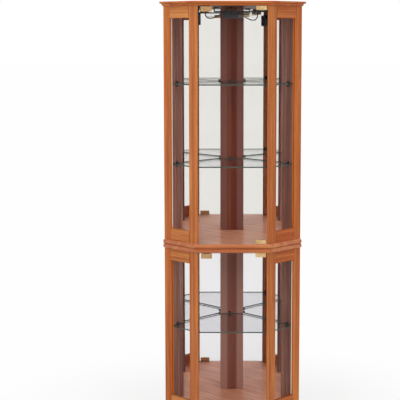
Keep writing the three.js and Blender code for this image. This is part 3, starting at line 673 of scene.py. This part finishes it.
# Lead from the switch to the lamp holder, on its solid's route: across, back from the front and up, in mm
LEAD_RADIUS = 2.3 * MM
LEAD_ROUTE = [
    (-144.3, 32.6, 1744.3),
    (-144.3, 32.6, 1751),
    (-142.4, 33.9, 1760),
    (-136.8, 37.3, 1766.4),
    (-129, 42, 1768.9),
    (-121.4, 46.6, 1766.4),
    (-115.7, 50, 1759.5),
    (-113.4, 51.6, 1750),
    (-112.3, 52.9, 1740.5),
    (-109.6, 55.6, 1731.5),
    (-103.4, 60.6, 1724.8),
    (-94, 67.6, 1722),
    (-82, 76.6, 1723),
    (-67, 88, 1729),
    (-50, 101, 1738.3),
    (-33, 114, 1749.2),
    (-18.5, 127, 1760),
    (-7, 142, 1767),
    (-0.5, 159, 1768.5),
    (1, 176, 1764.5),
    (-0.5, 191, 1757),
    (-3.7, 203.5, 1749.6),
    (-7, 214, 1745.6),
    (-8.5, 222.6, 1745),
]


def smooth_route(points, steps=8):
    """Points along a curve through the given ones, close enough to bend softly."""
    path = []
    padded = [2 * points[0] - points[1], *points, 2 * points[-1] - points[-2]]
    for before, here, after, next_one in zip(padded, padded[1:], padded[2:], padded[3:]):
        for i in range(steps):
            t = i / steps
            pull = (after - before) * t
            bend = (2 * before - 5 * here + 4 * after - next_one) * t * t
            twist = (3 * here - before - 3 * after + next_one) * t**3
            path.append(0.5 * (2 * here + pull + bend + twist))
    path.append(points[-1])
    return path


def lamp_lead():
    points = [Vector((x * MM, FRONT + depth * MM, z * MM)) for x, depth, z in LEAD_ROUTE]
    path = smooth_route(points)
    curve = bpy.data.curves.new("lamp_lead_sheath", "CURVE")
    curve.dimensions = "3D"
    curve.bevel_depth = LEAD_RADIUS
    curve.bevel_resolution = 5
    curve.use_fill_caps = True
    line = curve.splines.new("POLY")
    line.points.add(len(path) - 1)
    for point, place in zip(line.points, path):
        point.co = (*place, 1)
    line.use_smooth = True
    lead = placed("lamp_lead_sheath", curve)
    curve.materials.append(FINISHES["sheath"])
    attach(lead, "carcass")
    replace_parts(lead, "lamp_lead")
    length = sum((b - a).length for a, b in zip(path, path[1:]))
    return path


LEAD_PATH = lamp_lead()

# Sleeves on the lead where it enters the switch and the holder
SWITCH_SLEEVE = 7.5 * MM
HOLDER_SLEEVE = 9 * MM
SLEEVE_RADII = (4.1 * MM, 2.75 * MM)
SLEEVE_GROOVE = 0.45 * MM
SLEEVE_RIBS = 4


def strain_relief(name, start, way):
    """A tapered, ribbed sleeve on the lead, from the housing outwards."""
    wide, slim = SLEEVE_RADII
    rib = way.length / SLEEVE_RIBS
    profile = [(0, 0), (0, wide)]
    for i in range(SLEEVE_RIBS):
        here = wide + (slim - wide) * (i + 0.5) / SLEEVE_RIBS
        base = rib * (i + 0.15)
        profile += [(base, here), (base + 0.5 * rib, here), (base + 0.6 * rib, here - SLEEVE_GROOVE)]
    profile += [(way.length, slim), (way.length, 0)]
    turned(name, profile, start, start + way, "sheath", 24)


strain_relief("switch_strain_relief", LEAD_PATH[0], Vector((0, 0, SWITCH_SLEEVE)))
strain_relief("holder_strain_relief", LEAD_PATH[-1], Vector((0, -HOLDER_SLEEVE, 0)))

# Bulb: a threaded brass cap with its contact, thin glass, and a long filament
CAP_LENGTH = 36 * MM
CAP_RADIUS = 7 * MM
CONTACT_RADIUS = 3 * MM
SHOULDER = (2 * MM, 5.2 * MM)
THREAD_START = 3.5 * MM
THREAD_LENGTH = 24 * MM
THREAD_DEPTH = 0.55 * MM
THREAD_TURNS = 7
SKIRT = 8 * MM
GLASS_RADIUS = 10 * MM
GLASS_OVERLAP = 0.4 * MM
NECK_RADIUS = 6.4 * MM
NECK_FLARE = 3 * MM
DOME_STEPS = 8
WIRE_RADIUS = 0.5 * MM
WIRE_STOP = 8 * MM


def bulb():
    low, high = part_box("bulb")
    centre = (low + high) / 2
    start = Vector((low.x, centre.y, centre.z))
    end = Vector((high.x, centre.y, centre.z))
    span = (end - start).length

    thread = [(0, 0), (0, CONTACT_RADIUS), SHOULDER]
    steps = 4 * THREAD_TURNS
    for i in range(steps):
        groove = 0.5 - 0.5 * math.cos(i * math.pi / 2)
        thread.append((THREAD_START + THREAD_LENGTH * i / steps, CAP_RADIUS - THREAD_DEPTH * groove))
    thread += [(CAP_LENGTH - SKIRT, CAP_RADIUS), (CAP_LENGTH, CAP_RADIUS), (CAP_LENGTH, 0)]

    mouth = CAP_LENGTH - GLASS_OVERLAP
    dome = [(mouth, 0), (mouth, NECK_RADIUS), (CAP_LENGTH + NECK_FLARE, GLASS_RADIUS)]
    for i in range(DOME_STEPS):
        angle = i / DOME_STEPS * math.pi / 2
        along = span - GLASS_RADIUS + GLASS_RADIUS * math.sin(angle)
        dome.append((along, GLASS_RADIUS * math.cos(angle)))
    dome.append((span, 0))

    wire_end = span - WIRE_STOP
    wire = [(CAP_LENGTH, 0), (CAP_LENGTH, WIRE_RADIUS), (wire_end, WIRE_RADIUS), (wire_end, 0)]

    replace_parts(turned("bulb_cap", thread, start, end, "brass"), "bulb")
    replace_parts(turned("bulb_glass", dome, start, end, "bulb glass"), "bulb")
    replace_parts(turned("bulb_filament", wire, start, end, "filament", 10), "bulb")


bulb()

# Screws that hold the lamp's strap under the crown
STRAP_THICK = 5.5 * MM
SCREW_INSET = 10 * MM
SECOND_SCREW_INSET = 19 * MM
SCREW_HEAD = [(0, 0), (0, 3.2 * MM), (0.8 * MM, 3.2 * MM), (1.8 * MM, 2.1 * MM), (1.8 * MM, 0)]


def strap_screws():
    low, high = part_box("lamp_strap")
    insets = (SCREW_INSET, SECOND_SCREW_INSET)
    places = [low.x + inset for inset in insets] + [high.x - inset for inset in insets]
    for i, x in enumerate(places, 1):
        start = Vector((x, (low.y + high.y) / 2, high.z - STRAP_THICK))
        end = start - Vector((0, 0, MM))
        turned(f"strap_screw_{i}", SCREW_HEAD, start, end, "steel", 20)


strap_screws()

# Studio: the floor's half width, where its own white starts and is full, and how bright the room's light is
FLOOR_REACH = 60
FLOOR_WHITE = (0.35, 1.3)
ROOM_LIGHT = 0.62
# Lamps: place, size and watts of each, all turned to one point
LAMP_TARGET = Vector((0, 0, 0.95))
LAMPS = {
    "key lamp": ((-2.2, -3.6, 2.9), 2.6, 58),
    "fill lamp": ((2.6, -3.4, 2.0), 2.6, 24),
    "top lamp": ((0.0, -1.0, 4.2), 2.4, 22),
}


def white_light(finish, kind, strength):
    return finish.node(kind, None, {"Color": (1, 1, 1, 1), "Strength": strength})


def floor():
    """A pale floor that keeps a soft shadow, and grows whiter away from the object."""
    mesh = bpy.data.meshes.new("floor")
    corners = [(x * FLOOR_REACH, y * FLOOR_REACH, 0) for x, y in ((-1, -1), (1, -1), (1, 1), (-1, 1))]
    mesh.from_pydata(corners, [], [(0, 1, 2, 3)])
    made = placed("floor", mesh)
    finish = Finish("studio floor")
    matt = finish.node("ShaderNodeBsdfDiffuse", None, {"Color": (0.92, 0.92, 0.92, 1)})
    at = finish.node("ShaderNodeTexCoord", output="Object")
    away = finish.node("ShaderNodeVectorMath", {"operation": "LENGTH"}, [at], output="Value")
    share = (0.72 + 0.255 * away.held(*FLOOR_WHITE)) * finish.to_the_eye()
    white = white_light(finish, "ShaderNodeEmission", 1.0)
    mesh.materials.append(finish.done(finish.either(share, matt, white)))


def room():
    """White surroundings that light the object less brightly than they look."""
    world = bpy.data.worlds.new("white room")
    bpy.context.scene.world = world
    finish = Finish("white room", world)
    strength = ROOM_LIGHT + (1 - ROOM_LIGHT) * finish.to_the_eye()
    back = white_light(finish, "ShaderNodeBackground", strength)
    finish.node("ShaderNodeOutputWorld", None, {"Surface": back})


def lamps():
    for name, (place, size, power) in LAMPS.items():
        lamp = bpy.data.lights.new(name, "AREA")
        lamp.shape = "SQUARE"
        lamp.size = size
        lamp.energy = power
        holder = placed(name, lamp)
        holder.location = place
        holder.rotation_euler = (LAMP_TARGET - Vector(place)).to_track_quat("-Z", "Y").to_euler()


def camera():
    lens = bpy.data.cameras.new("camera")
    lens.sensor_width = 36
    lens.lens = CAMERA_LENS
    lens.shift_x, lens.shift_y = CAMERA_SHIFT
    eye = placed("camera", lens)
    eye.location = CAMERA_PLACE
    eye.rotation_euler = (math.radians(90 - CAMERA_PITCH), 0, 0)
    bpy.context.scene.camera = eye


camera()
floor()
room()
lamps()

look = bpy.context.scene
look.view_settings.view_transform = "Standard"
look.cycles.sample_clamp_indirect = 4
look.cycles.max_bounces = 16
look.cycles.glossy_bounces = 8
look.cycles.transparent_max_bounces = 40
